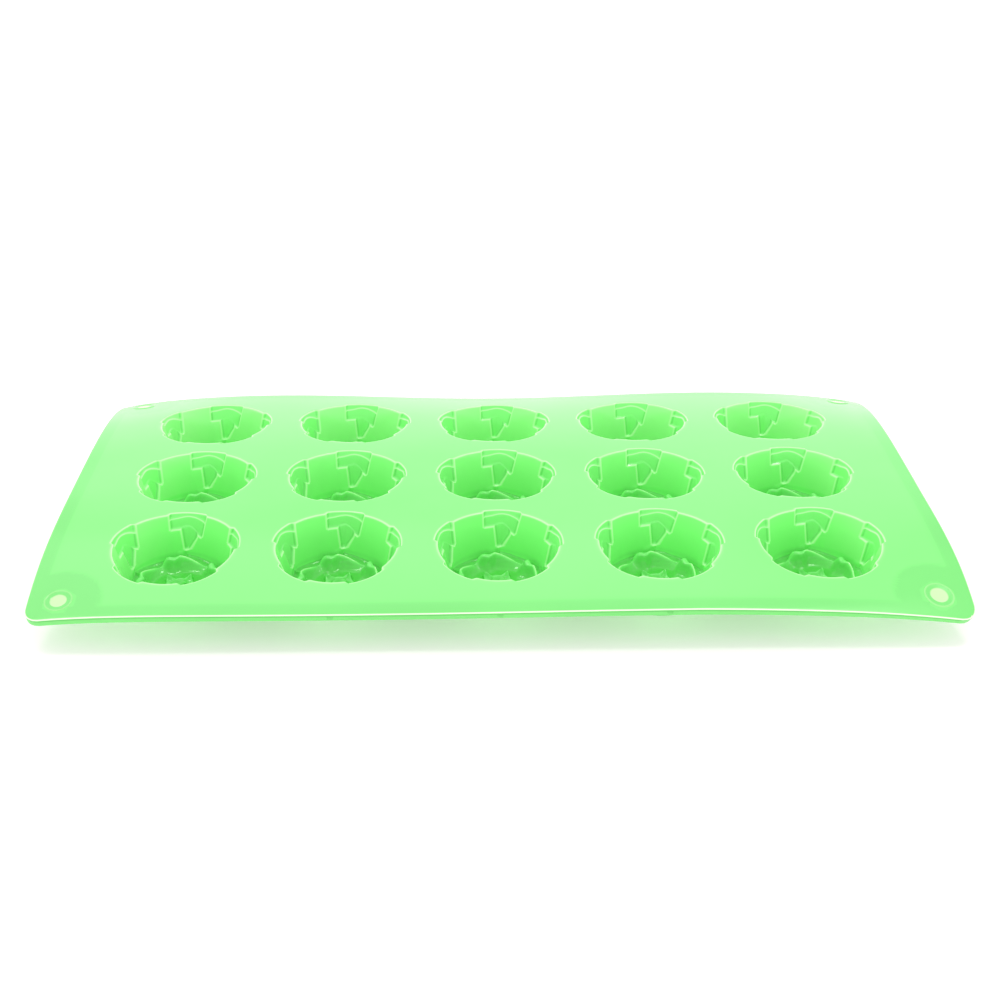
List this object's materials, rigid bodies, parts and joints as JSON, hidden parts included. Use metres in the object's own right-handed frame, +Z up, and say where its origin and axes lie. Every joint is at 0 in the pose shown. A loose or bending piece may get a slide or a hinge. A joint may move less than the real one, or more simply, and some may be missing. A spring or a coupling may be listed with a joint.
{
  "type": "silicone soap mould",
  "caption": "Flexible rectangular silicone mould: a thin bowed sheet carrying rows of small round rose-shaped cups, with thickened edges and corner marks.",
  "frame": {"origin": "on the table, under the middle of the sheet", "axes": "+X along the length to the right, +Y from front to back, +Z up"},
  "size_m": [0.214, 0.12, 0.0154],
  "materials": {
    "sheet_silicone": "satin translucent silicone",
    "cup_silicone": "satin translucent silicone",
    "corner_silicone": "thin satin silicone"
  },
  "bodies": {
    "column_1": {"panel_1": "sheet_silicone", "cup_front_1": "cup_silicone", "cup_middle_1": "cup_silicone", "cup_back_1": "cup_silicone", "corner_mark_front_left": "corner_silicone", "corner_mark_back_left": "corner_silicone"},
    "column_2": {"panel_2": "sheet_silicone", "cup_front_2": "cup_silicone", "cup_middle_2": "cup_silicone", "cup_back_2": "cup_silicone", "flex_strip_1": "sheet_silicone"},
    "column_3": {"panel_3": "sheet_silicone", "cup_front_3": "cup_silicone", "cup_middle_3": "cup_silicone", "cup_back_3": "cup_silicone", "flex_strip_2": "sheet_silicone", "flex_strip_3": "sheet_silicone"},
    "column_4": {"panel_4": "sheet_silicone", "cup_front_4": "cup_silicone", "cup_middle_4": "cup_silicone", "cup_back_4": "cup_silicone", "flex_strip_4": "sheet_silicone"},
    "column_5": {"panel_5": "sheet_silicone", "cup_front_5": "cup_silicone", "cup_middle_5": "cup_silicone", "cup_back_5": "cup_silicone", "corner_mark_front_right": "corner_silicone", "corner_mark_back_right": "corner_silicone"}
  },
  "joints": [
    {"name": "flex_1", "type": "hinge", "parent": "column_2", "child": "column_1", "pos_m": [-0.0576, 0, 0.014], "axis": [0, 1, 0], "range_deg": [-30, 45], "stiffness_Nm_per_rad": 0.012, "deforming": ["flex_strip_1"]},
    {"name": "flex_2", "type": "hinge", "parent": "column_3", "child": "column_2", "pos_m": [-0.0192, 0, 0.014], "axis": [0, 1, 0], "range_deg": [-30, 45], "stiffness_Nm_per_rad": 0.012, "deforming": ["flex_strip_2"]},
    {"name": "flex_3", "type": "hinge", "parent": "column_3", "child": "column_4", "pos_m": [0.0192, 0, 0.014], "axis": [0, -1, 0], "range_deg": [-30, 45], "stiffness_Nm_per_rad": 0.012, "deforming": ["flex_strip_3"]},
    {"name": "flex_4", "type": "hinge", "parent": "column_4", "child": "column_5", "pos_m": [0.0576, 0, 0.014], "axis": [0, -1, 0], "range_deg": [-30, 45], "stiffness_Nm_per_rad": 0.012, "deforming": ["flex_strip_4"]}
  ]
}
